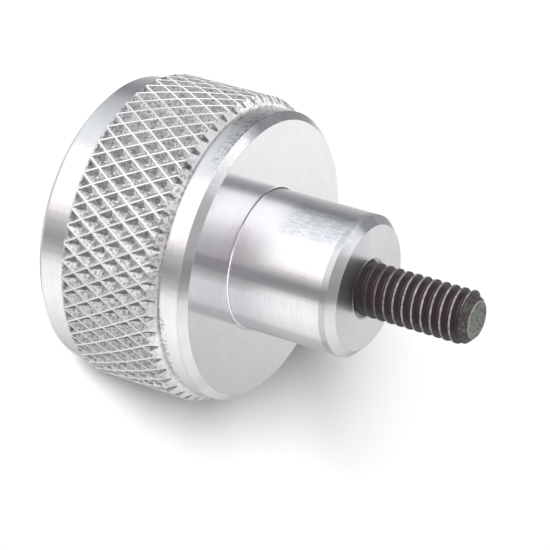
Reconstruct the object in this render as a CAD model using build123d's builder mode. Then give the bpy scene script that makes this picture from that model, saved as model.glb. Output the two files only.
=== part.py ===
from build123d import *

import math
import os

# Knurled lock knob: a turned aluminium knob with a diamond-knurled head and a
# smooth boss, and a black set screw fixed in the boss as its threaded stud.
# Millimetres. +Z runs along the stud, away from the head. The origin is the
# centre of the head's flat back face, which is the face the knob stands on.

# ---- head ----
head_length = 12.9  # back face to front face
land_dia = 21.9  # the smooth lands on each side of the knurl
head_chamfer = 0.55  # 45 degrees, at both ends of the head

# ---- diamond knurl ----
knurl_rise = 0.7  # how far the ridges stand above the lands
knurl_start = 2.8  # back face to the band's square back edge
knurl_end = 10.75  # back face to the foot of the band's front bevel
knurl_count = 56  # diamonds in one turn
knurl_cell = 2.23  # length of one diamond along the axis
ridge_width = 0.16  # flat left on top of each ridge
wall_angle = 45.0  # how steeply the pit walls go down
band_step = 0.06  # the bevel stops this far above the land

# ---- boss ----
boss_dia = 10.6
boss_length = 8.65
boss_chamfer = 0.6  # 45 degrees, at the front
boss_fillet = 0.2  # tool radius where the boss meets the head

# ---- set screw, M4 x 0.7 with a flat point ----
# Its free end is plain at the thread's major diameter. The stretch that is
# engaged in the boss is plain at the pitch diameter, as its hole is.
thread_dia = 4.0
thread_pitch = 0.7
screw_length = 20.0
stud_reach = 8.75  # how far it stands out of the boss
point_dia = 2.75
socket_end_chamfer = 0.4
socket_width = 2.0  # hexagon across flats, in the hidden end
socket_depth = 2.0

# ---- tapped hole ----
thread_clearance = 0.03  # all round the engaged thread
countersink_dia = 4.8  # 45 degrees, at the mouth of the hole
drill_angle = 118.0  # included angle of the hole's conical bottom

# ---- heights along the axis ----
boss_top = head_length + boss_length
stud_tip = boss_top + stud_reach
screw_foot = stud_tip - screw_length

# ---- radii, and the depth of the hole's point ----
land_radius = land_dia / 2
knurl_radius = land_radius + knurl_rise
boss_radius = boss_dia / 2
thread_radius = thread_dia / 2
pitch_radius = thread_radius - 3 * math.sqrt(3) / 16 * thread_pitch
hole_radius = pitch_radius + thread_clearance
countersink_radius = countersink_dia / 2
drill_point = hole_radius / math.tan(math.radians(drill_angle / 2))

# ---- one diamond of the knurl ----
half_cell = knurl_cell / 2
half_step = math.pi * knurl_radius / knurl_count
cell_inradius = half_cell * half_step / math.hypot(half_cell, half_step)
rim_inradius = cell_inradius - ridge_width / 2
wall_slope = math.tan(math.radians(wall_angle))
pit_depth = rim_inradius * wall_slope
cutter_lift = ridge_width / 4  # the cutter stands proud of the ridges
cutter_scale = (rim_inradius + cutter_lift / wall_slope) / cell_inradius
cutter_top = knurl_radius + cutter_lift


# The cutter for one pit is a diamond prism pointing at the axis, cut down to a
# pyramid by the planes of its four walls. It stands on the +X side at height zero.
corners = [
    Vector(cutter_top, half_step * cutter_scale, 0),
    Vector(cutter_top, 0, half_cell * cutter_scale),
    Vector(cutter_top, -half_step * cutter_scale, 0),
    Vector(cutter_top, 0, -half_cell * cutter_scale),
]
pit_floor = Vector(knurl_radius - pit_depth, 0, 0)

with BuildPart() as pit:
    with BuildSketch(Plane.YZ.offset(cutter_top)):
        with BuildLine():
            Polyline([(corner.Y, corner.Z) for corner in corners], close=True)
        make_face()
    extrude(amount=-(pit_depth + cutter_lift))
    for corner, following in zip(corners, corners[1:] + corners[:1]):
        across_wall = (corner - pit_floor).cross(following - pit_floor)
        split(bisect_by=Plane(origin=pit_floor, z_dir=across_wall), keep=Keep.TOP)


def pit_places():
    """Rows of pits half a diamond apart, every other row turned by half a step."""
    rows = math.ceil((knurl_end - knurl_start) / half_cell)
    step = 360 / knurl_count
    places = []
    for row in range(rows):
        height = knurl_start + row * half_cell
        for index in range(knurl_count):
            turn = (index + row % 2 / 2) * step
            places.append(Location((0, 0, height), (0, 0, turn)))
    return places


with BuildPart() as knob:
    # The knurled band: its sides are flats between the pits' centre lines.
    with BuildSketch(Plane.XY.offset(knurl_start)):
        RegularPolygon(radius=knurl_radius, side_count=2 * knurl_count)
    extrude(amount=knurl_end - knurl_start)
    front_edges = edges().group_by(Axis.Z)[-1]
    chamfer(front_edges, knurl_rise - band_step)

    # Head and boss, turned in one with the band.
    with BuildSketch(Plane.XZ):
        with BuildLine():
            Polyline(
                (0, 0),
                (land_radius - head_chamfer, 0),
                (land_radius, head_chamfer),
                (land_radius, head_length - head_chamfer),
                (land_radius - head_chamfer, head_length),
                (boss_radius, head_length),
                (boss_radius, boss_top - boss_chamfer),
                (boss_radius - boss_chamfer, boss_top),
                (0, boss_top),
                close=True,
            )
        make_face()
    revolve(axis=Axis.Z)
    boss_foot = edges().filter_by(
        lambda edge: edge.geom_type == GeomType.CIRCLE
        and abs(edge.radius - boss_radius) < boss_fillet / 2
        and abs(edge.center().Z - head_length) < boss_fillet / 2
    )
    fillet(boss_foot, boss_fillet)

    # The diamond pits of the knurl.
    with Locations(*pit_places()):
        add(pit.part, mode=Mode.SUBTRACT, clean=False)

    # The blind tapped hole, with a countersunk mouth and a drilled point.
    with BuildSketch(Plane.XZ):
        with BuildLine():
            Polyline(
                (0, boss_top),
                (countersink_radius, boss_top),
                (hole_radius, boss_top - (countersink_radius - hole_radius)),
                (hole_radius, screw_foot),
                (0, screw_foot - drill_point),
                close=True,
            )
        make_face()
    revolve(axis=Axis.Z, mode=Mode.SUBTRACT)

with BuildPart() as set_screw:
    # The stretch engaged in the boss, with its hexagon socket.
    with BuildSketch(Plane.XY.offset(screw_foot)):
        Circle(pitch_radius)
    extrude(amount=boss_top - screw_foot)
    chamfer(edges().sort_by(Axis.Z)[0], socket_end_chamfer)
    with BuildSketch(Plane.XY.offset(screw_foot)):
        RegularPolygon(radius=socket_width / 2, side_count=6, major_radius=False)
    extrude(amount=socket_depth, mode=Mode.SUBTRACT)

    # The free end, with its flat point.
    with BuildSketch(Plane.XY.offset(boss_top)):
        Circle(thread_radius)
    extrude(amount=stud_reach)
    chamfer(edges().sort_by(Axis.Z)[-1], thread_radius - point_dia / 2)

knob.part.label = "knob"
set_screw.part.label = "set_screw"

os.makedirs("parts", exist_ok=True)
export_step(knob.part, "parts/knob.step")
export_step(set_screw.part, "parts/set_screw.step")
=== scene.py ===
import math

import bmesh
import bpy
import numpy as np
from mathutils import Matrix, Vector


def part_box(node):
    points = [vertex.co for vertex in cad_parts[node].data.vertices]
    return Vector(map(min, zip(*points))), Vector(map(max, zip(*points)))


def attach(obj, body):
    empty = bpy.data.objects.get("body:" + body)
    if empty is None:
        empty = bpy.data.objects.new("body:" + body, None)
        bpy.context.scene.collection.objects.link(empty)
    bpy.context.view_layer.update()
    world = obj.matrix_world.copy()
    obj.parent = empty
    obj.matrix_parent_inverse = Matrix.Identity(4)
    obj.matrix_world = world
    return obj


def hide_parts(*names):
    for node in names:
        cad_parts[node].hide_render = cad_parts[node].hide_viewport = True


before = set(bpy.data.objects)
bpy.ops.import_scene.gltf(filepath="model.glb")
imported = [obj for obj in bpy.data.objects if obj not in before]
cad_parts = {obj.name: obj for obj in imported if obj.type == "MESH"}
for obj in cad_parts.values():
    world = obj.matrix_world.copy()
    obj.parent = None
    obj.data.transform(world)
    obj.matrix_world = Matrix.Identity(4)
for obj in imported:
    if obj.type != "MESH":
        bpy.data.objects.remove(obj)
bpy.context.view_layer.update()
mm = 0.001  # the frame is in metres, the sizes below are in millimetres
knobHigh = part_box("knob")[1] / mm
screwLow, screwHigh = (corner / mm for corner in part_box("set_screw"))
print("frame loaded")

weldReach = 1e-4  # points closer together than this are one point
nearEnough = 1e-3  # a point this close to a surface lies on it
sliceReach = 1e-5  # and this close to a cutting plane


def pieceFromMesh(name, bm, materials, sharpAngle):
    # a finished piece: back to metres, smooth but for edges over sharpAngle
    bmesh.ops.scale(bm, vec=(mm, mm, mm), verts=bm.verts)
    bmesh.ops.recalc_face_normals(bm, faces=bm.faces)
    # the faces in the same order in each run
    ordered = sorted(bm.faces, key=lambda face: face.calc_center_median()[:])
    bm.faces.sort(key={face: place for place, face in enumerate(ordered)}.get)
    mesh = bpy.data.meshes.new(name)
    bm.to_mesh(mesh)
    bm.free()
    for material in materials:
        mesh.materials.append(material)
    mesh.polygons.foreach_set("use_smooth", [True] * len(mesh.polygons))
    mesh.set_sharp_from_angle(angle=math.radians(sharpAngle))
    piece = bpy.data.objects.new(name, mesh)
    bpy.context.scene.collection.objects.link(piece)
    return piece


def roundedProfile(corners, steps=4):
    # corners are (radius, height, edge radius). A rounded corner becomes an arc with a
    # support point on each side, so that flat faces stay flat under smooth shading
    points = [Vector(corners[0][:2])]
    for before, (x, z, edge), after in zip(corners, corners[1:], corners[2:]):
        here = Vector((x, z))
        if edge == 0:
            points.append(here)
            continue
        back = (Vector(before[:2]) - here).normalized()
        ahead = (Vector(after[:2]) - here).normalized()
        half = back.angle(ahead) / 2
        setBack = edge / math.tan(half)
        support = setBack + edge * 0.8  # how far from the corner the flat faces begin
        centre = here + (back + ahead).normalized() * edge / math.sin(half)
        start = here + back * setBack - centre
        end = here + ahead * setBack - centre
        first = math.atan2(start.y, start.x)
        sweep = (math.atan2(end.y, end.x) - first + math.pi) % (2 * math.pi) - math.pi
        points.append(here + back * support)
        for step in range(steps + 1):
            angle = first + sweep * step / steps
            points.append(centre + Vector((math.cos(angle), math.sin(angle))) * edge)
        points.append(here + ahead * support)
    points.append(Vector(corners[-1][:2]))
    return points


def latheInto(bm, points, angles, materialAt):
    # one ring of vertices for each profile point; a point on the axis is one vertex
    rings = []
    for point in points:
        if point.x < weldReach:
            rings.append([bm.verts.new((0, 0, point.y))] * len(angles))
        else:
            rings.append([bm.verts.new((point.x * math.cos(a), point.x * math.sin(a), point.y))
                          for a in angles])
    for lower, upper, start, end in zip(rings, rings[1:], points, points[1:]):
        index = materialAt((start + end) / 2)
        for i in range(len(angles)):
            j = (i + 1) % len(angles)
            corners = list(dict.fromkeys([lower[i], lower[j], upper[j], upper[i]]))
            bm.faces.new(corners).material_index = index


def slicePlane(bm, place, facing, dropFront=False):
    # new edges where a plane crosses the mesh; dropFront takes away what is in front of it
    bmesh.ops.bisect_plane(bm, geom=bm.verts[:] + bm.edges[:] + bm.faces[:], dist=sliceReach,
                           plane_co=place, plane_no=Vector(facing).normalized(),
                           clear_outer=dropFront)


def rollUp(bm, radian):
    # a flat sheet becomes a tube: x goes round the axis, with this length to a radian,
    # y is the height and z the radius
    for vert in bm.verts:
        angle = vert.co.x / radian
        vert.co = Vector((vert.co.z * math.cos(angle), vert.co.z * math.sin(angle), vert.co.y))
    bmesh.ops.remove_doubles(bm, verts=bm.verts, dist=weldReach)


def extrudeRing(bm, edges, radius=None, height=None):
    # a new ring from open edges, moved to a radius, a height or both
    made = bmesh.ops.extrude_edge_only(bm, edges=edges)["geom"]
    for vert in [part for part in made if isinstance(part, bmesh.types.BMVert)]:
        if radius is not None:
            vert.co.x, vert.co.y = Vector((vert.co.x, vert.co.y)).normalized() * radius
        if height is not None:
            vert.co.z = height
    return [part for part in made if isinstance(part, bmesh.types.BMEdge) and part.is_boundary]


# the knob: head, diamond knurl and boss in one turned piece
knob = {
    "ridgeRise": 0.7,  # ridges above the smooth lands
    "headLength": 12.9,
    "headChamfer": 0.55,
    "edge": 0.05,  # broken edges
    "bandStart": 2.8,
    "bandEnd": 10.75,
    "bandStep": 0.02,  # length of the steep step from the bevel down to the land
    "bevelLength": 0.64,
    "bevelSlope": 0.8,  # the bevel's fall for each millimetre of its length
    "diamonds": 56,
    "diamondLength": 2.23,
    "ridgeWidth": 0.1,
    "ridgeTop": [(0.1, 0.0), (0.75, 0.008), (1.25, 0.022)],  # share of half a ridge, depth there
    "gridLines": [0.035, 0.06, 0.11],  # how far from a ridge's middle the mesh has its lines
    "wallAngle": 45,
    "pitFloor": 0.085,  # half width of the flattened pit floor
    "floorDish": 0.02,
    "pitSpread": 0.06,  # pits are up to this share deeper or shallower
    "seed": 7,
    "lip": 0.16,  # width of the thin rim that closes the pits at the back edge
    "lipDrop": 0.07,  # how far that rim lies below the ridges
    "lipRagged": 0.04,
    "lipWaves": (9, 3.7, 1),  # rates of the two waves that make it ragged, and the second's start
    "lipWall": 0.05,  # length of the steep wall from the rim down into the pits
    "lipChamfer": 0.06,
    "lipSlope": 0.8,
    "bossRadius": 5.3,
    "bossChamfer": 0.6,
    "bossFillet": 0.13,
    "mouthRadius": 2.22,  # countersink at the hole
    "mouthBurr": 0.06,  # width of the small burr round it
    "burrRise": 0.02,
    "holeRadius": 1.8,
    "holePoint": 1.08,
    "sharpAngle": 28,
}
landRadius = knobHigh.x - knob["ridgeRise"]
bevelStart = knob["bandEnd"] - knob["bevelLength"]
onTurned, onKnurled, onFaced = range(3)  # the knob's material slots


def ridgeProfile(distance):
    # how deep the knurl is at a distance from the middle of the nearest ridge
    flat = knob["ridgeWidth"] / 2
    for share, depth in knob["ridgeTop"]:
        if distance <= flat * share:
            return depth
    return (distance - flat) * math.tan(math.radians(knob["wallAngle"]))


def diamondFaces(count):
    # the faces of one diamond's grid, cut in two along its diagonals
    faces = []
    for i in range(count):
        for j in range(count):
            quad = [(i, j), (i + 1, j), (i + 1, j + 1), (i, j + 1)]
            if i == j:
                faces += [quad[:3], [quad[2], quad[3], quad[0]]]
            elif i + j == count - 1:
                faces += [[quad[0], quad[1], quad[3]], quad[1:]]
            else:
                faces.append(quad)
    return faces


def trimBand(bm, outer):
    # cuts in the front bevel, the step at its foot, the land and the rim at the back edge
    slicePlane(bm, (0, bevelStart, outer), (0, knob["bevelSlope"], 1))
    slicePlane(bm, (0, knob["bandEnd"], outer), (0, 1, 0))
    slicePlane(bm, (0, knob["bandEnd"] + knob["bandStep"], outer), (0, 1, 0))
    for reach in (knob["lipChamfer"], knob["lip"], knob["lip"] + knob["lipWall"]):
        slicePlane(bm, (0, knob["bandStart"] + reach, outer), (0, 1, 0))
    fast, slow, start = knob["lipWaves"]
    for vert in bm.verts:
        if vert.co.y < knob["bandStart"] + knob["lip"] + knob["lipWall"] / 2:
            waves = math.sin(vert.co.x * fast) * math.sin(vert.co.x * slow + start)
            rim = outer - knob["lipDrop"] + knob["lipRagged"] * waves
            vert.co.z = max(vert.co.z, rim)
            reach = max(knob["bandStart"] + knob["lipChamfer"] - vert.co.y, 0)
            vert.co.z -= reach * knob["lipSlope"]
        if vert.co.y > knob["bandEnd"] + knob["bandStep"] / 2:
            vert.co.z = landRadius
        else:
            fall = (vert.co.y - bevelStart) * knob["bevelSlope"]
            vert.co.z = min(vert.co.z, outer - fall)


def knurlSheet():
    # the knurl laid flat: x runs round the band, y along the axis, z is the radius.
    # Each diamond is a grid between its four ridges, finer at the ridges and the floor
    outer = landRadius + knob["ridgeRise"]
    halfStep = math.pi * outer / knob["diamonds"]
    halfCell = knob["diamondLength"] / 2
    width = 2 * halfStep * halfCell / math.hypot(halfStep, halfCell)
    floorAt = width / 2 - knob["pitFloor"]
    half = [0, *knob["gridLines"], floorAt, width / 2]
    steps = [d / width for d in half] + [1 - d / width for d in half[-2::-1]]
    count = len(steps) - 1
    faces = diamondFaces(count)
    rows = math.ceil((knob["bandEnd"] - knob["bandStart"]) / halfCell)
    seeded = np.random.default_rng(knob["seed"])
    bm = bmesh.new()
    for row in range(rows + 1):
        middleY = knob["bandStart"] + row * halfCell
        for index in range(knob["diamonds"]):
            middleX = (2 * index + row % 2) * halfStep
            deeper = 1 + seeded.uniform(-knob["pitSpread"], knob["pitSpread"])
            grid = {}
            for i, u in enumerate(steps):
                for j, v in enumerate(steps):
                    if (row == 0 and i + j < count) or (row == rows and i + j > count):
                        continue  # half diamonds at both ends
                    nearest = min(u, 1 - u, v, 1 - v) * width
                    depth = ridgeProfile(min(nearest, floorAt)) * deeper
                    if nearest > floorAt:
                        depth += knob["floorDish"]
                    grid[i, j] = bm.verts.new((middleX + (u - v) * halfStep,
                                               middleY + (u + v - 1) * halfCell,
                                               outer - depth))
            for face in faces:
                if all(corner in grid for corner in face):
                    bm.faces.new([grid[corner] for corner in face])
    bmesh.ops.remove_doubles(bm, verts=bm.verts, dist=weldReach)
    trimBand(bm, outer)
    angles = [(2 * index * halfStep + (2 * u - 1) * halfStep) / outer
              for index in range(knob["diamonds"]) for u in steps[:-1]]
    return bm, outer, angles, knob["bandStart"] + rows * halfCell


def buildKnob(materials):
    bm, outer, angles, joinHeight = knurlSheet()
    for face in bm.faces:  # the band and its bevel are knurled, the land is turned
        onLand = all(vert.co.y > knob["bandEnd"] + knob["bandStep"] / 2 for vert in face.verts)
        face.material_index = onTurned if onLand else onKnurled
    rollUp(bm, outer)

    # the band's square back edge: a wall from the cut pits in to the land
    backEdge = [edge for edge in bm.edges if edge.is_boundary
                and max(vert.co.z for vert in edge.verts) < knob["bandStart"] + weldReach]
    extrudeRing(bm, backEdge, radius=landRadius)

    land, chamfer, edge = landRadius, knob["headChamfer"], knob["edge"]
    head, boss, top = knob["headLength"], knob["bossRadius"], knobHigh.z
    mouth, hole = knob["mouthRadius"], knob["holeRadius"]
    burr, rise = knob["mouthBurr"], knob["burrRise"]
    back = roundedProfile([(0, 0, 0), (land - chamfer, 0, edge), (land, chamfer, edge),
                           (land, knob["bandStart"], 0)])
    front = roundedProfile([
        (land, joinHeight, 0), (land, head - chamfer, edge), (land - chamfer, head, edge),
        (boss, head, knob["bossFillet"]), (boss, top - knob["bossChamfer"], edge),
        (boss - knob["bossChamfer"], top, edge), (mouth + 2 * burr, top, rise),
        (mouth + burr, top + rise, rise), (mouth, top - rise, rise),
        (hole, top - (mouth - hole), 0), (hole, screwLow.z, 0),
        (0, screwLow.z - knob["holePoint"], 0)])

    def finishAt(point):
        onWall = min(abs(point.x - land), abs(point.x - boss)) < nearEnough
        return onTurned if onWall else onFaced

    for part in (back, front):
        latheInto(bm, part, angles, finishAt)
    bmesh.ops.remove_doubles(bm, verts=bm.verts, dist=weldReach)
    return pieceFromMesh("turned_knob", bm, materials, knob["sharpAngle"])


# the set screw that stands out of the boss as the stud
screw = {
    "radius": 2.0,
    "pitch": 0.75,
    "rootRadius": 1.55,
    "pointRadius": 1.375,
    "pointRings": [(0.97, 0), (0.8, -0.01), (0.4, -0.03), (0.05, -0.035)],  # dished: radius, height
    "crest": 0.18,  # flat at the crest and at the root, as shares of the pitch
    "root": 0.22,
    "crestRound": (0.05, 0.16),  # past the crest's end, and how deep there
    "rootRound": (0.04, 0.9),  # before the root's start, and how deep there
    "rootDish": 1.02,
    "turnsFrom": 0.197,  # where the thread starts, as a share of a turn
    "segments": 72,
    "footChamfer": 0.4,
    "socketWidth": 2.0,
    "socketDepth": 2.0,
    "sharpAngle": 35,
}


def threadProfile():
    # one turn from crest to crest, as shares of the pitch and of the thread's depth
    crestEnd = screw["crest"] * 0.5
    rootStart = crestEnd + (1 - screw["crest"] - screw["root"]) / 2
    crestRound, crestDepth = screw["crestRound"]
    rootRound, rootDepth = screw["rootRound"]
    half = [(0, 0), (crestEnd, 0), (crestEnd + crestRound, crestDepth),
            (rootStart - rootRound, rootDepth), (rootStart + rootRound, 1),
            (0.5, screw["rootDish"])]
    return half + [(1 - share, depth) for share, depth in half[-2:0:-1]]


def threadSheet(low, high):
    # the thread laid flat: x runs round, y along the axis, z is the radius
    profile = threadProfile()
    depth = screw["radius"] - screw["rootRadius"]
    turns = math.ceil((high - low) / screw["pitch"]) + 4  # two to spare at each end
    bm = bmesh.new()
    columns = []
    for k in range(screw["segments"] + 1):
        lift = low + screw["pitch"] * (k / screw["segments"] + screw["turnsFrom"] - 2)
        columns.append([bm.verts.new((k, lift + (turn + share) * screw["pitch"],
                                      screw["radius"] - down * depth))
                        for turn in range(turns) for share, down in profile])
    for left, right in zip(columns, columns[1:]):
        for quad in zip(left, right, right[1:], left[1:]):
            bm.faces.new(quad)

    # both ends are cut to length and chamfered
    pointStart = high - (screw["radius"] - screw["pointRadius"])
    footEnd = low + screw["footChamfer"]
    slicePlane(bm, (0, pointStart, screw["radius"]), (0, 1, 1))
    slicePlane(bm, (0, footEnd, screw["radius"]), (0, -1, 1))
    slicePlane(bm, (0, high, 0), (0, 1, 0), dropFront=True)
    slicePlane(bm, (0, low, 0), (0, -1, 0), dropFront=True)
    for vert in bm.verts:
        vert.co.z = min(vert.co.z, screw["radius"] - (vert.co.y - pointStart),
                        screw["radius"] - (footEnd - vert.co.y))
    return bm


def buildSetScrew(materials):
    low, high = screwLow.z, screwHigh.z
    bm = threadSheet(low, high)
    rollUp(bm, screw["segments"] / (2 * math.pi))

    # the flat point, a little dished, with a rounded rim
    rim = [edge for edge in bm.edges
           if edge.is_boundary and edge.verts[0].co.z > high - nearEnough]
    for share, rise in screw["pointRings"]:
        rim = extrudeRing(bm, rim, screw["pointRadius"] * share, high + rise)
    bmesh.ops.contextual_create(bm, geom=rim)

    # the foot with its hexagon socket, inside the boss
    foot = [edge for edge in bm.edges
            if edge.is_boundary and edge.verts[0].co.z < low + nearEnough]
    corner = screw["socketWidth"] / math.sqrt(3)
    hexagon = [bm.verts.new((corner * math.cos(k * math.pi / 3),
                             corner * math.sin(k * math.pi / 3), low)) for k in range(6)]
    sides = [bm.edges.new((hexagon[k], hexagon[(k + 1) % 6])) for k in range(6)]
    bmesh.ops.triangle_fill(bm, edges=foot + sides, use_beauty=True)
    bottom = extrudeRing(bm, sides, height=low + screw["socketDepth"])
    bmesh.ops.contextual_create(bm, geom=bottom)
    return pieceFromMesh("threaded_stud", bm, materials, screw["sharpAngle"])


def newMaterial(name):
    material = bpy.data.materials.new(name)
    material.use_nodes = True
    tree = material.node_tree
    tree.nodes.clear()
    return material, tree


def addNode(tree, kind, settings=None, **inputs):
    # inputs are values or other sockets, by the name of the socket or in1, in2 ... by place
    node = tree.nodes.new(kind)
    for key, value in (settings or {}).items():
        setattr(node, key, value)
    for key, value in inputs.items():
        socket = node.inputs[int(key[2:]) - 1] if key[:2] == "in" else node.inputs[key]
        if isinstance(value, bpy.types.NodeSocket):
            tree.links.new(value, socket)
        else:
            socket.default_value = value
    return node


def maths(tree, operation, *values, clamp=False):
    inputs = {f"in{place}": value for place, value in enumerate(values, start=1)}
    return addNode(tree, "ShaderNodeMath", {"operation": operation, "use_clamp": clamp},
                   **inputs).outputs[0]


def times(tree, *values):
    product = values[0]
    for value in values[1:]:
        product = maths(tree, "MULTIPLY", product, value)
    return product


def dot(tree, a, b):
    return addNode(tree, "ShaderNodeVectorMath", {"operation": "DOT_PRODUCT"}, in1=a,
                   in2=b).outputs["Value"]


def vectorOf(tree, x, y, z):
    return addNode(tree, "ShaderNodeCombineXYZ", in1=x, in2=y, in3=z).outputs[0]


def mapRange(tree, value, low, high, first, last):
    # first where value is at low, last where it is at high, and even steps between
    return addNode(tree, "ShaderNodeMapRange", in1=value, in2=low, in3=high, in4=first,
                   in5=last).outputs[0]


def smoothStep(tree, value, low, high):
    return addNode(tree, "ShaderNodeMapRange", {"interpolation_type": "SMOOTHSTEP"}, in1=value,
                   in2=low, in3=high).outputs[0]


def between(tree, value, low, high, soft, softHigh=None):
    # 1 inside low to high, falling to 0 over soft on both sides, or over softHigh past high
    rising = smoothStep(tree, value, low - soft, low)
    falling = smoothStep(tree, value, high, high + (softHigh or soft))
    return maths(tree, "SUBTRACT", rising, falling)


def noiseOf(tree, vector, scale, detail, roughness):
    return addNode(tree, "ShaderNodeTexNoise", Vector=vector, Scale=scale, Detail=detail,
                   Roughness=roughness).outputs[0]


def mixColours(tree, factor, a, b):
    # colours are sockets or (red, green, blue)
    a, b = (value if isinstance(value, bpy.types.NodeSocket) else (*value, 1) for value in (a, b))
    return addNode(tree, "ShaderNodeMix", {"data_type": "RGBA"}, in1=factor, in7=a,
                   in8=b).outputs[2]


def tinted(tree, colour, mask, tint):
    # multiplies colour by tint where mask is 1
    full = mixColours(tree, mask, (1, 1, 1), tint)
    return addNode(tree, "ShaderNodeMix", {"data_type": "RGBA", "blend_type": "MULTIPLY"},
                   in1=1.0, in7=colour, in8=full).outputs[2]


def colourRamp(tree, value, stops):
    node = addNode(tree, "ShaderNodeValToRGB", in1=value)
    elements = node.color_ramp.elements
    while len(elements) < len(stops):
        elements.new(0.5)
    for element, (place, colour) in zip(elements, stops):
        element.position = place
        element.color = (*colour, 1)
    return node.outputs[0]


def objectPlace(tree):
    # the point in millimetres, and where that is round, along and out from the axis
    place = addNode(tree, "ShaderNodeTexCoord").outputs["Object"]
    place = addNode(tree, "ShaderNodeVectorMath", {"operation": "SCALE"}, in1=place,
                    Scale=1 / mm).outputs[0]
    x, y, height = addNode(tree, "ShaderNodeSeparateXYZ", in1=place).outputs
    radius = addNode(tree, "ShaderNodeVectorMath", {"operation": "LENGTH"},
                     in1=vectorOf(tree, x, y, 0.0)).outputs["Value"]
    angle = maths(tree, "ARCTAN2", y, x)
    degrees = times(tree, angle, 180 / math.pi)
    return {"place": place, "radius": radius, "angle": angle, "degrees": degrees,
            "height": height}


def patchMask(tree, at, noises, patch):
    # 1 inside a patch's ranges, broken up by the noise that it names
    masks = [between(tree, at[way], *patch[way]) for way in ("degrees", "height", "radius")
             if way in patch]
    if "noise" in patch:
        name, low, high = patch["noise"]
        masks.append(smoothStep(tree, noises[name], low, high))
    return times(tree, *masks)


def withSurface(material, tree, shader):
    addNode(tree, "ShaderNodeOutputMaterial", in1=shader.outputs[0])
    return material


landEnd = knob["headLength"] - knob["headChamfer"]
bossFoot = knob["headLength"]
bossRim = knobHigh.z - knob["bossChamfer"]
# heights of three surfaces, each with the width over which a patch on it fades
headSlope = (landEnd + 0.02, bossFoot - 0.02, 0.01)
bossWall = (bossFoot + 0.08, bossRim, 0.03)
bossSlope = (bossRim + 0.01, knobHigh.z - 0.02, 0.01)

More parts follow.
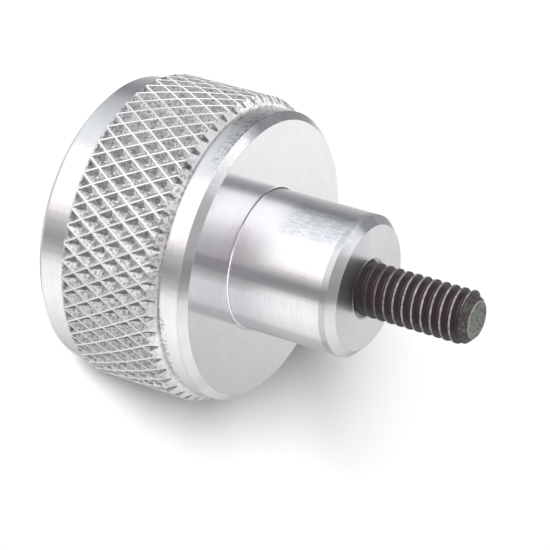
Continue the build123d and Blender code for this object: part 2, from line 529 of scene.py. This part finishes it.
turnedFinish = {
    "colour": (0.88, 0.882, 0.89),
    "cloudy": (0.855, 0.858, 0.868),
    "markSpacing": 14,  # turning marks for each millimetre
    "markTurn": 1.3,  # how fast they change round the axis
    "markBump": (0.15, 0.002),  # strength, and height in millimetres
    "markDirection": 0.25,  # of a turn: the highlights stretch across the marks
    "grainTint": (0.95, 0.95, 0.95),
    # between these levels of a noise its tint comes in
    "levels": {"cloud": (0.35, 0.65), "grain": (0.5, 0.72), "marks": (0.35, 0.75)},
    # the side walls, then the faces and chamfers, which are cut finer
    "turned aluminium": {"roughness": 0.205, "anisotropic": 1.0, "marks": 0.95},
    "faced aluminium": {"roughness": 0.125, "anisotropic": 0.4, "marks": 0.99},
    "roughnessSpread": 0.02,
    "roughnessLevels": (0.3, 0.7),
    "coarseEnd": 0.19,  # added to the roughness at the boss's end
    "coarseFrom": (bossRim - 0.55, bossRim - 0.45),
    "streakStretch": (1.0, 1.0, 0.3),
    # scale, detail and roughness
    "noises": {"marks": (1.0, 3.0, 0.6), "grain": (11.0, 2.0, 0.6), "cloud": (0.9, 3.0, 0.55),
               "ragged": (3.5, 3.0, 0.7), "spots": (3.2, 3.0, 0.7), "streaks": (5.0, 4.0, 0.7)},
    # a patch lies between two angles and two heights, and fades over the width that follows
    # them. A noise between two levels may break it up, and it tints the metal
    "patches": {
        "wornLand": {"degrees": (-158, -122, 10), "noise": ("ragged", 0.47, 0.58),
                     "height": (landEnd - 0.25, landEnd + 0.01, 1.0, 0.02),
                     "tint": (0.6, 0.608, 0.615)},
        "darkLine": {"degrees": (-150, -131, 5), "noise": ("grain", 0.3, 0.5),
                     "height": (landEnd - 0.1, landEnd - 0.01, 0.03), "tint": (0.5, 0.5, 0.5)},
        "greyLand": {"degrees": (-152, -134, 8), "noise": ("spots", 0.42, 0.6),
                     "height": (landEnd - 1.45, landEnd - 0.25, 0.3),
                     "tint": (0.94, 0.945, 0.945)},
        # painted shade: both lands darker on one side, which dims the highlight reflected there
        "paintedShadeLands": {"degrees": (-130, -114, 10), "height": (0, landEnd - 0.05, 0.1),
                         "tint": (0.78, 0.785, 0.79)},
        # darker bluish streaks on one side of the boss, towards its end
        "bluishStreakedBoss": {"degrees": (-142, -116, 9), "noise": ("streaks", 0.3, 0.62),
                     "height": (bossFoot + 3.7, bossFoot + 7.7, 1.6),
                     "tint": (0.73, 0.745, 0.77)},
        "wornSlope": {"degrees": (-136, -112, 6), "noise": ("streaks", 0.4, 0.6),
                      "height": headSlope, "tint": (0.9, 0.902, 0.906)},
        "darkSlope": {"degrees": (-161, -146, 5), "noise": ("streaks", 0.3, 0.6),
                      "height": headSlope, "tint": (0.78, 0.785, 0.79)},
        # painted shade: one side of the boss's wall darker
        "paintedShadeLowBoss": {"degrees": (-26, 0, 9), "height": bossWall, "tint": (0.76, 0.765, 0.77)},
        # painted shade: a narrow darker band along the boss, which deepens a reflected dark stripe
        "paintedShadeBossBand": {"degrees": (-76, -70, 4), "height": bossWall, "tint": (0.79, 0.79, 0.8)},
        # painted shade: the boss's end chamfer darker on two sides
        "paintedShadeBossSlopeTop": {"degrees": (-160, -141, 4), "height": bossSlope,
                         "tint": (0.73, 0.735, 0.74)},
        "paintedShadeBossSlopeSide": {"degrees": (-106, -72, 8), "height": bossSlope,
                          "tint": (0.73, 0.735, 0.74)},
        # painted reflection: a rosy dimming at the boss's foot, where the boss mirrors the head's
        # face, and on the face beside it
        "paintedReflectionRosyFoot": {"degrees": (-104, -80, 10), "height": (bossFoot, bossFoot + 0.6, 0.8),
                     "radius": (0, knob["bossRadius"], 1.1), "tint": (0.97, 0.92, 0.94)},
        # painted shade: a dark line in the corner at the boss's foot, on one side
        "paintedShadeFootCorner": {"degrees": (-179, -112, 10), "height": (bossFoot, bossFoot + 0.07, 0.02),
                      "radius": (knob["bossRadius"], knob["bossRadius"] + 0.08, 0.02),
                      "tint": (0.3, 0.3, 0.3)},
    },
    # grime on the land below the knurl, which reaches further where it is ragged, and painted shade
    # in the corner at the knurl's step all round
    "cornerShadeAndGrime": {"sides": [(-50, -12, 12), (-166, -142, 8)], "height": 0.03, "reach": 0.5,
              "start": (knob["bandEnd"] - 0.05, knob["bandEnd"] - 0.01), "edge": 0.03,
              "ragged": (0.4, 0.6), "grain": (0.3, 0.55), "tint": (0.52, 0.505, 0.475)},
    # a burr that catches the light on one side of the boss's foot
    "burr": {"degrees": (-84, -14, 8), "height": (bossFoot, bossFoot + 0.08, 0.02),
             "radius": (knob["bossRadius"], knob["bossRadius"] + 0.06, 0.02),
             "noise": ("grain", 0.3, 0.5), "lessMetallic": 0.55},
}


def cornerShadeAndGrimeMask(tree, at, noises):
    cornerShadeAndGrime = turnedFinish["cornerShadeAndGrime"]
    first, second = (between(tree, at["degrees"], *side) for side in cornerShadeAndGrime["sides"])
    further = times(tree, maths(tree, "ADD", first, second),
                    smoothStep(tree, noises["ragged"], *cornerShadeAndGrime["ragged"]))
    end = maths(tree, "MULTIPLY_ADD", further, cornerShadeAndGrime["reach"], knob["bandEnd"] + cornerShadeAndGrime["height"])
    before = maths(tree, "SUBTRACT", end, at["height"])
    return times(tree, smoothStep(tree, before, -cornerShadeAndGrime["edge"], 0.0),
                 smoothStep(tree, at["height"], *cornerShadeAndGrime["start"]),
                 smoothStep(tree, noises["grain"], *cornerShadeAndGrime["grain"]))


def turnedMaterial(name):
    finish = turnedFinish[name]
    material, tree = newMaterial(name)
    at = objectPlace(tree)
    spacing = turnedFinish["markSpacing"]
    rings = vectorOf(tree, times(tree, at["radius"], spacing), times(tree, at["height"], spacing),
                     times(tree, at["angle"], turnedFinish["markTurn"]))
    stretched = addNode(tree, "ShaderNodeVectorMath", {"operation": "MULTIPLY"}, in1=at["place"],
                        in2=turnedFinish["streakStretch"]).outputs[0]
    vectors = {"marks": rings, "streaks": stretched}
    noises = {kind: noiseOf(tree, vectors.get(kind, at["place"]), *setting)
              for kind, setting in turnedFinish["noises"].items()}

    cloud, grain, marks = (smoothStep(tree, noises[kind], *turnedFinish["levels"][kind])
                           for kind in ("cloud", "grain", "marks"))
    colour = mixColours(tree, cloud, turnedFinish["colour"], turnedFinish["cloudy"])
    colour = tinted(tree, colour, grain, turnedFinish["grainTint"])
    colour = tinted(tree, colour, marks, [finish["marks"]] * 3)
    for patch in turnedFinish["patches"].values():
        colour = tinted(tree, colour, patchMask(tree, at, noises, patch), patch["tint"])
    # grime, and painted shade in the corner at the knurl's step
    colour = tinted(tree, colour, cornerShadeAndGrimeMask(tree, at, noises), turnedFinish["cornerShadeAndGrime"]["tint"])

    burr = patchMask(tree, at, noises, turnedFinish["burr"])
    metallic = maths(tree, "MULTIPLY_ADD", burr, -turnedFinish["burr"]["lessMetallic"], 1.0)
    spread = turnedFinish["roughnessSpread"]
    roughness = mapRange(tree, noises["marks"], *turnedFinish["roughnessLevels"],
                         finish["roughness"] - spread, finish["roughness"] + spread)
    atEnd = smoothStep(tree, at["height"], *turnedFinish["coarseFrom"])
    coarser = times(tree, atEnd, turnedFinish["coarseEnd"])
    roughness = maths(tree, "ADD", roughness, coarser)
    tangent = addNode(tree, "ShaderNodeTangent", {"direction_type": "RADIAL", "axis": "Z"})
    strength, depth = turnedFinish["markBump"]
    bump = addNode(tree, "ShaderNodeBump", Strength=strength, Distance=depth * mm,
                   Height=noises["marks"])
    shader = addNode(tree, "ShaderNodeBsdfPrincipled", Metallic=metallic, Roughness=roughness,
                     Anisotropic=finish["anisotropic"], Tangent=tangent.outputs[0],
                     Normal=bump.outputs[0],
                     **{"Base Color": colour,
                        "Anisotropic Rotation": turnedFinish["markDirection"]})
    return withSurface(material, tree, shader)


knurlFinish = {
    "ridge": (0.97, 0.97, 0.97),
    # the pits darker than the ridges: part dirt, part painted shade in the hollows
    "pit": (0.56, 0.565, 0.57),
    "brightGrit": (0.90, 0.90, 0.90),
    "darkGrit": (0.30, 0.30, 0.305),
    "lip": (0.74, 0.74, 0.745),
    "metallic": 0.94,
    "crushed": 0.5,  # metallic where the ridges are crushed
    "roughness": 0.31,
    "ridgeEnd": (0.022, 0.065),  # depths between which the ridge's colour turns into the pit's
    "gritNoise": (5.5, 3.0, 0.7),
    "gritDepth": 0.04,  # how far grit blurs the ridges' edges
    "gritBump": 0.04,
    "bumpStrength": (0.7, 0.3),  # in the pits, and more where torn
    "tornNoise": (3.5, 3.0, 0.7),
    # levels of the noises between which each colour comes in
    "brightLevels": (0.42, 0.62),
    "darkLevels": (0.46, 0.34),
    "tornLevels": (0.46, 0.6),
    "wallFacing": (0.847, 0.532),  # how the walls with painted shade lean, round and along
    "wallMatch": (0.42, 0.6),  # how squarely a wall has to face that way
    "floorMatch": (0.85, 0.97),  # and a floor outward
    # angles from, to and the width over which they fade
    "crushedHigh": (-178, -144, 10),
    "crushedLow": (-42, -6, 10),
    "crushedOnBevel": (1.6, 0.2),  # on the low side: more for each millimetre of bevel, and least
    "tornSides": [(-110, -74, 8), (-176, -148, 8)],
    "tornShare": (0.6, 0.35),  # more on those sides, and least
    "tornStart": 0.1,
    "shadedHigh": (-142, -112, 12),
    "shadedLow": (-62, -2, 10),
    "shadedLowShare": 0.25,
    "shadedStart": 0.05,
    "paintedShadeSide": (-62, -28, 10),
    "lipFade": 0.02,
    # the tints of the walls, pits, bevel and one side: painted shade, but for the torn bevel
    "paintedShadeWalls": (0.63, 0.63, 0.635),
    "paintedShadePitsTwoSides": (0.78, 0.78, 0.775),
    "paintedShadePitFloors": (0.84, 0.84, 0.84),
    "torn": (0.5, 0.485, 0.47),
    "shaded": (0.6, 0.6, 0.605),
    "paintedShadeSideTint": (0.88, 0.88, 0.88),
}


def knurledMaterial():
    material, tree = newMaterial("knurled aluminium")
    at = objectPlace(tree)
    degrees, height = at["degrees"], at["height"]
    grit = noiseOf(tree, at["place"], *knurlFinish["gritNoise"])
    ragged = noiseOf(tree, at["place"], *knurlFinish["tornNoise"])
    # depth below the ridge tops, or below the bevel where the bevel has cut them
    bevel = maths(tree, "MAXIMUM", maths(tree, "SUBTRACT", height, bevelStart), 0.0)
    top = maths(tree, "SUBTRACT", knobHigh.x, times(tree, bevel, knob["bevelSlope"]))
    depth = maths(tree, "SUBTRACT", top, at["radius"])
    depth = maths(tree, "ADD", depth, times(tree, grit, knurlFinish["gritDepth"]))
    onBand = smoothStep(tree, height, knob["bandEnd"], knob["bandEnd"] - 0.01)
    inPit = times(tree, smoothStep(tree, depth, *knurlFinish["ridgeEnd"]), onBand)
    colour = mixColours(tree, inPit, knurlFinish["ridge"], knurlFinish["pit"])
    bright = times(tree, inPit, smoothStep(tree, grit, *knurlFinish["brightLevels"]))
    colour = mixColours(tree, bright, colour, knurlFinish["brightGrit"])
    dark = times(tree, inPit, smoothStep(tree, grit, *knurlFinish["darkLevels"]))
    colour = mixColours(tree, dark, colour, knurlFinish["darkGrit"])

    # painted shade on the pit walls that face one way, round and along the axis
    facing = addNode(tree, "ShaderNodeNewGeometry").outputs["True Normal"]
    sine, cosine = maths(tree, "SINE", at["angle"]), maths(tree, "COSINE", at["angle"])
    leanRound, leanAlong = knurlFinish["wallFacing"]
    across = vectorOf(tree, times(tree, sine, -leanRound), times(tree, cosine, leanRound),
                      leanAlong)
    leaning = dot(tree, facing, across)
    walls = times(tree, inPit, smoothStep(tree, leaning, *knurlFinish["wallMatch"]))
    colour = tinted(tree, colour, walls, knurlFinish["paintedShadeWalls"])
    # painted shade on the pit floors, which face outward
    outward = dot(tree, facing, vectorOf(tree, cosine, sine, 0.0))
    floor = times(tree, inPit, smoothStep(tree, outward, *knurlFinish["floorMatch"]))
    colour = tinted(tree, colour, floor, knurlFinish["paintedShadePitFloors"])

    # on two sides the ridges are crushed and less metallic, so the lamps light them bright, and the
    # pits between them are given painted shade
    growth, least = knurlFinish["crushedOnBevel"]
    mostOnBevel = maths(tree, "ADD", maths(tree, "MULTIPLY", bevel, growth, clamp=True), least)
    low = times(tree, between(tree, degrees, *knurlFinish["crushedLow"]), mostOnBevel)
    high = between(tree, degrees, *knurlFinish["crushedHigh"])
    crushed = maths(tree, "ADD", high, low, clamp=True)
    colour = tinted(tree, colour, times(tree, crushed, inPit), knurlFinish["paintedShadePitsTwoSides"])

    # the bevel is torn where the knurl runs out, most of all on two sides
    first, second = (between(tree, degrees, *side) for side in knurlFinish["tornSides"])
    where = maths(tree, "MULTIPLY_ADD", maths(tree, "ADD", first, second),
                  *knurlFinish["tornShare"])
    torn = times(tree, smoothStep(tree, height, bevelStart, bevelStart + knurlFinish["tornStart"]),
                 smoothStep(tree, ragged, *knurlFinish["tornLevels"]), where)
    colour = tinted(tree, colour, torn, knurlFinish["torn"])
    shadedLow = times(tree, between(tree, degrees, *knurlFinish["shadedLow"]),
                      knurlFinish["shadedLowShare"])
    shaded = maths(tree, "ADD", between(tree, degrees, *knurlFinish["shadedHigh"]), shadedLow)
    shaded = times(tree, shaded, smoothStep(tree, height, bevelStart,
                                            bevelStart + knurlFinish["shadedStart"]))
    colour = tinted(tree, colour, shaded, knurlFinish["shaded"])
    # painted shade: the knurl darker on one side
    colour = tinted(tree, colour, between(tree, degrees, *knurlFinish["paintedShadeSide"]),
                    knurlFinish["paintedShadeSideTint"])
    lipEnd = knob["bandStart"] + knob["lipChamfer"]
    colour = mixColours(tree, smoothStep(tree, height, lipEnd, lipEnd - knurlFinish["lipFade"]),
                        colour, knurlFinish["lip"])

    inPits, whereTorn = knurlFinish["bumpStrength"]
    strength = maths(tree, "ADD", times(tree, inPit, inPits), times(tree, torn, whereTorn))
    bump = addNode(tree, "ShaderNodeBump", Strength=strength,
                   Distance=knurlFinish["gritBump"] * mm, Height=grit)
    onRidge = times(tree, crushed, maths(tree, "SUBTRACT", 1.0, inPit))
    metallic = mapRange(tree, onRidge, 0.0, 1.0, knurlFinish["metallic"], knurlFinish["crushed"])
    shader = addNode(tree, "ShaderNodeBsdfPrincipled", Metallic=metallic,
                     Roughness=knurlFinish["roughness"], Normal=bump.outputs[0],
                     **{"Base Color": colour})
    return withSurface(material, tree, shader)


oxideFinish = {
    "colour": (0.029, 0.018, 0.023),
    "olive": (0.026, 0.022, 0.020),
    "wornCrest": (0.27, 0.245, 0.255),
    "wornFrom": (0.05, 3.95),  # the wear begins and is full this far above the boss
    "wornEdge": (-0.005, 0.03),  # and this far out from the crests
    "wornGrit": 0.05,  # how far the grain blurs that edge
    "wornLeast": 0.35,  # share of the wear that is left where it is patchy
    "pointSlope": (0.06, 0.06, 0.052),
    "pointDark": (0.022, 0.023, 0.02),
    "pointPale": (0.18, 0.185, 0.165),
    "pointRim": (0.22, 0.225, 0.2),
    # how far below the tip the slope, the flat and the rim begin, and are full
    "slopeFrom": (-0.8, -0.5),
    "flatFrom": (-0.07, -0.045),
    "rimFrom": (-0.1, -0.03),
    "rimReach": (-0.05, 0.02, 0.05),  # from the flat's edge: inward, outward, and how it fades
    # levels of the noises between which each colour comes in
    "cloudLevels": (0.38, 0.62),
    "patchyLevels": (0.35, 0.6),
    "slopeLevels": (0.46, 0.62),
    "paleLevels": (0.36, 0.6),
    "metallic": 0.2,
    "roughness": 0.34,
    "ior": 1.55,
    "bump": (0.6, 0.02),  # strength, and height in millimetres
    # scale, detail and roughness
    "noises": {"grain": (7.0, 3.0, 0.65), "cloud": (1.4, 2.0, 0.5), "patchy": (2.6, 3.0, 0.7),
               "fine": (4.5, 3.0, 0.7)},
}


def oxideMaterial():
    material, tree = newMaterial("black oxide")
    at = objectPlace(tree)
    height = at["height"]
    fromTip = maths(tree, "SUBTRACT", height, screwHigh.z)
    grain, cloud, patchy, fine = (noiseOf(tree, at["place"], *oxideFinish["noises"][kind])
                                  for kind in ("grain", "cloud", "patchy", "fine"))
    colour = mixColours(tree, smoothStep(tree, cloud, *oxideFinish["cloudLevels"]),
                        oxideFinish["colour"], oxideFinish["olive"])

    # the crests are worn bright, but for the first turns at the boss
    edge = maths(tree, "ADD", at["radius"], times(tree, grain, oxideFinish["wornGrit"]))
    fromCrest = maths(tree, "SUBTRACT", edge, screw["radius"])
    fromBoss = maths(tree, "SUBTRACT", height, knobHigh.z)
    uneven = mapRange(tree, patchy, *oxideFinish["patchyLevels"], oxideFinish["wornLeast"], 1.0)
    worn = times(tree, smoothStep(tree, fromCrest, *oxideFinish["wornEdge"]), uneven,
                 smoothStep(tree, fromBoss, *oxideFinish["wornFrom"]))
    colour = mixColours(tree, worn, colour, oxideFinish["wornCrest"])

    # the flat point is mottled, with a painted highlight along its rim
    slope = times(tree, smoothStep(tree, fromTip, *oxideFinish["slopeFrom"]),
                  smoothStep(tree, fine, *oxideFinish["slopeLevels"]))
    colour = mixColours(tree, slope, colour, oxideFinish["pointSlope"])
    mottled = mixColours(tree, smoothStep(tree, fine, *oxideFinish["paleLevels"]),
                         oxideFinish["pointDark"], oxideFinish["pointPale"])
    colour = mixColours(tree, smoothStep(tree, fromTip, *oxideFinish["flatFrom"]), colour,
                        mottled)
    fromRim = maths(tree, "SUBTRACT", at["radius"], screw["pointRadius"])
    rim = times(tree, smoothStep(tree, fromTip, *oxideFinish["rimFrom"]),
                between(tree, fromRim, *oxideFinish["rimReach"]), uneven)
    colour = mixColours(tree, rim, colour, oxideFinish["pointRim"])

    strength, depth = oxideFinish["bump"]
    bump = addNode(tree, "ShaderNodeBump", Strength=strength, Distance=depth * mm, Height=grain)
    shader = addNode(tree, "ShaderNodeBsdfPrincipled", Metallic=oxideFinish["metallic"],
                     Roughness=oxideFinish["roughness"], IOR=oxideFinish["ior"],
                     Normal=bump.outputs[0], **{"Base Color": colour})
    return withSurface(material, tree, shader)


# colours of the light in the room
tints = {"plain": (0.995, 1, 1.01), "cool": (0.98, 1, 1.035), "rose": (1.035, 0.985, 1.02)}

studio = {
    # the room as polished metal sees it: azimuth in degrees, level and tint, on four rings
    "low": [(-180, .78, "cool"), (-166, 1.0, "cool"), (-154, 1.2, "cool"),
            (-130, 1.5, "plain"), (-96, 1.5, "plain"), (-84, 1.3, "rose"), (-72, .56, "rose"),
            (-58, .29, "rose"), (-47, .52, "plain"), (-36, 1.15, "plain"), (-10, 1.22, "plain"),
            (14, 1.02, "plain"), (38, .8, "plain"), (62, .58, "plain"), (86, .56, "plain"),
            (98, .92, "plain"), (122, .60, "plain"), (146, .34, "cool"), (158, .22, "cool"),
            (170, .42, "cool"), (180, .78, "cool")],
    "level": [(-180, .9, "cool"), (-150, 1.05, "plain"), (-110, .95, "plain"),
              (-80, .8, "plain"), (-60, .62, "plain"), (-40, .4, "plain"), (-13, .16, "plain"),
              (10, .14, "plain"), (32, .42, "plain"), (48, .74, "plain"), (64, .64, "plain"),
              (80, .3, "plain"), (90, .3, "plain"), (105, .36, "plain"), (117, .34, "plain"),
              (130, .28, "plain"), (150, .3, "cool"), (163, .5, "cool"), (170, .8, "cool"),
              (180, .9, "cool")],
    "high": [(-180, 1.3, "plain"), (-165, 1.42, "plain"), (-145, 1.42, "plain"),
             (-130, 1.35, "plain"), (-115, .98, "rose"), (-100, .74, "rose"), (-90, .6, "rose"),
             (-72, .5, "rose"), (-60, .42, "rose"), (-46, .4, "rose"), (-33, .64, "plain"),
             (-22, 1.0, "plain"), (0, .98, "plain"), (30, .85, "plain"), (60, .66, "plain"),
             (80, .45, "plain"), (87, .56, "plain"), (90, .72, "plain"), (92, .86, "plain"),
             (94.5, 1.03, "plain"), (104, 1.05, "plain"), (125, .6, "plain"),
             (145, .36, "cool"), (160, .33, "cool"), (167, .6, "cool"), (173, 1.15, "plain"),
             (180, 1.3, "plain")],
    "steep": [(-180, 1.0, "plain"), (-160, .94, "plain"), (-143, .78, "plain"),
              (-129, .5, "plain"), (-110, .46, "rose"), (-90, .46, "rose"), (-70, .42, "rose"),
              (-60, .3, "rose"), (-45, .3, "rose"), (-33, .45, "plain"), (-22, .85, "plain"),
              (0, .9, "plain"), (60, .66, "plain"), (120, .6, "plain"), (160, .6, "plain"),
              (180, 1.0, "plain")],
    "top": (0.6, 0.6, 0.6),
    "bottom": (0.66, 0.66, 0.66),
    # between which heights in degrees each one begins
    "begins": {"bottom": (-58, -44), "level": (-18, -4), "high": (8, 22), "steep": (38, 50),
               "top": (66, 82)},
    "soft": 0.19,  # plain light for what isn't polished
}


def buildWorld():
    world = bpy.data.worlds.new("studio")
    bpy.context.scene.world = world
    world.use_nodes = True
    tree = world.node_tree
    tree.nodes.clear()
    toward = addNode(tree, "ShaderNodeTexCoord").outputs["Generated"]
    x, y, z = addNode(tree, "ShaderNodeSeparateXYZ", in1=toward).outputs
    azimuth = maths(tree, "ARCTAN2", y, x)
    turn = maths(tree, "MULTIPLY_ADD", azimuth, 1 / (2 * math.pi), 0.5)
    rings = {name: colourRamp(tree, turn, [((degrees + 180) / 360, Vector(tints[tint]) * level)
                                           for degrees, level, tint in studio[name]])
             for name in ("low", "level", "high", "steep")}
    height = maths(tree, "ARCSINE", z)
    mask = {name: smoothStep(tree, height, math.radians(low), math.radians(high))
            for name, (low, high) in studio["begins"].items()}
    colour = rings["low"]
    for name in ("level", "high", "steep"):
        colour = mixColours(tree, mask[name], colour, rings[name])
    colour = mixColours(tree, mask["top"], colour, studio["top"])
    colour = mixColours(tree, mask["bottom"], studio["bottom"], colour)
    room = addNode(tree, "ShaderNodeBackground", in1=colour, in2=1.0)
    soft = addNode(tree, "ShaderNodeBackground", in1=(1, 1, 1, 1), in2=studio["soft"])
    white = addNode(tree, "ShaderNodeBackground", in1=(1, 1, 1, 1), in2=1.0)
    path = addNode(tree, "ShaderNodeLightPath").outputs
    mix = addNode(tree, "ShaderNodeMixShader", in1=path["Is Glossy Ray"],
                  in2=soft.outputs[0], in3=room.outputs[0])
    mix = addNode(tree, "ShaderNodeMixShader", in1=path["Is Camera Ray"],
                  in2=mix.outputs[0], in3=white.outputs[0])
    addNode(tree, "ShaderNodeOutputWorld", in1=mix.outputs[0])


floorSetup = {"size": 4000, "colour": 0.96, "squares": 8, "sharpAngle": 30}


def buildFloor():
    bm = bmesh.new()
    bmesh.ops.create_grid(bm, x_segments=floorSetup["squares"], y_segments=floorSetup["squares"],
                          size=floorSetup["size"] / 2)
    material, tree = newMaterial("pale floor")
    paper = addNode(tree, "ShaderNodeBsdfDiffuse", in1=(*[floorSetup["colour"]] * 3, 1))
    floor = pieceFromMesh("floor", bm, [withSurface(material, tree, paper)],
                          floorSetup["sharpAngle"])
    floor.visible_glossy = False


lamps = {
    # a broad soft sun from the camera's side, and a weak panel from the left
    "key": {"kind": "SUN", "place": (-97, -613, 323), "energy": 5.8, "angle": 16},
    "side": {"kind": "AREA", "place": (-480, -60, 110), "energy": 0.8, "size": 200},
}


def buildLamps():
    for name, lamp in lamps.items():
        data = bpy.data.lights.new(name, lamp["kind"])
        data.energy = lamp["energy"]
        if lamp["kind"] == "SUN":
            data.angle = math.radians(lamp["angle"])
        else:
            data.shape = "DISK"
            data.size = lamp["size"] * mm
        light = bpy.data.objects.new(name, data)
        light.location = Vector(lamp["place"]) * mm
        light.rotation_euler = (-light.location).to_track_quat("-Z", "Y").to_euler()
        light.visible_glossy = False
        bpy.context.scene.collection.objects.link(light)


camera = {
    "lens": 155.5,
    "sensor": 36,
    "clip": (0.01, 20),  # metres
    "aim": (0.994, 0.440, 13.743),
    "distance": 174.245,
    "elevation": 27.549,
    "roll": 106.496,
    "turn": 0.91,
}


def buildCamera():
    data = bpy.data.cameras.new("camera")
    data.lens = camera["lens"]
    data.sensor_width = camera["sensor"]
    data.clip_start, data.clip_end = camera["clip"]
    eye = bpy.data.objects.new("camera", data)
    turn = Matrix.Rotation(math.radians(camera["turn"]), 4, "Z")
    tilt = Matrix.Rotation(math.radians(90 - camera["elevation"]), 4, "X")
    roll = Matrix.Rotation(math.radians(camera["roll"]), 4, "Z")
    aim = Matrix.Translation(Vector(camera["aim"]) * mm)
    back = Matrix.Translation((0, 0, camera["distance"] * mm))
    eye.matrix_world = turn @ aim @ tilt @ roll @ back
    bpy.context.scene.collection.objects.link(eye)
    bpy.context.scene.camera = eye


def buildAll():
    buildCamera()
    buildWorld()
    buildLamps()
    buildFloor()
    print("room, lamps and camera ready")
    knobPiece = buildKnob([turnedMaterial("turned aluminium"), knurledMaterial(),
                           turnedMaterial("faced aluminium")])
    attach(knobPiece, "root")
    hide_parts("knob")
    print("knob ready", len(knobPiece.data.polygons))
    studPiece = buildSetScrew([oxideMaterial()])
    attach(studPiece, "root")
    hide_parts("set_screw")
    print("stud ready", len(studPiece.data.polygons))


bpy.context.scene.view_settings.view_transform = "Standard"
buildAll()
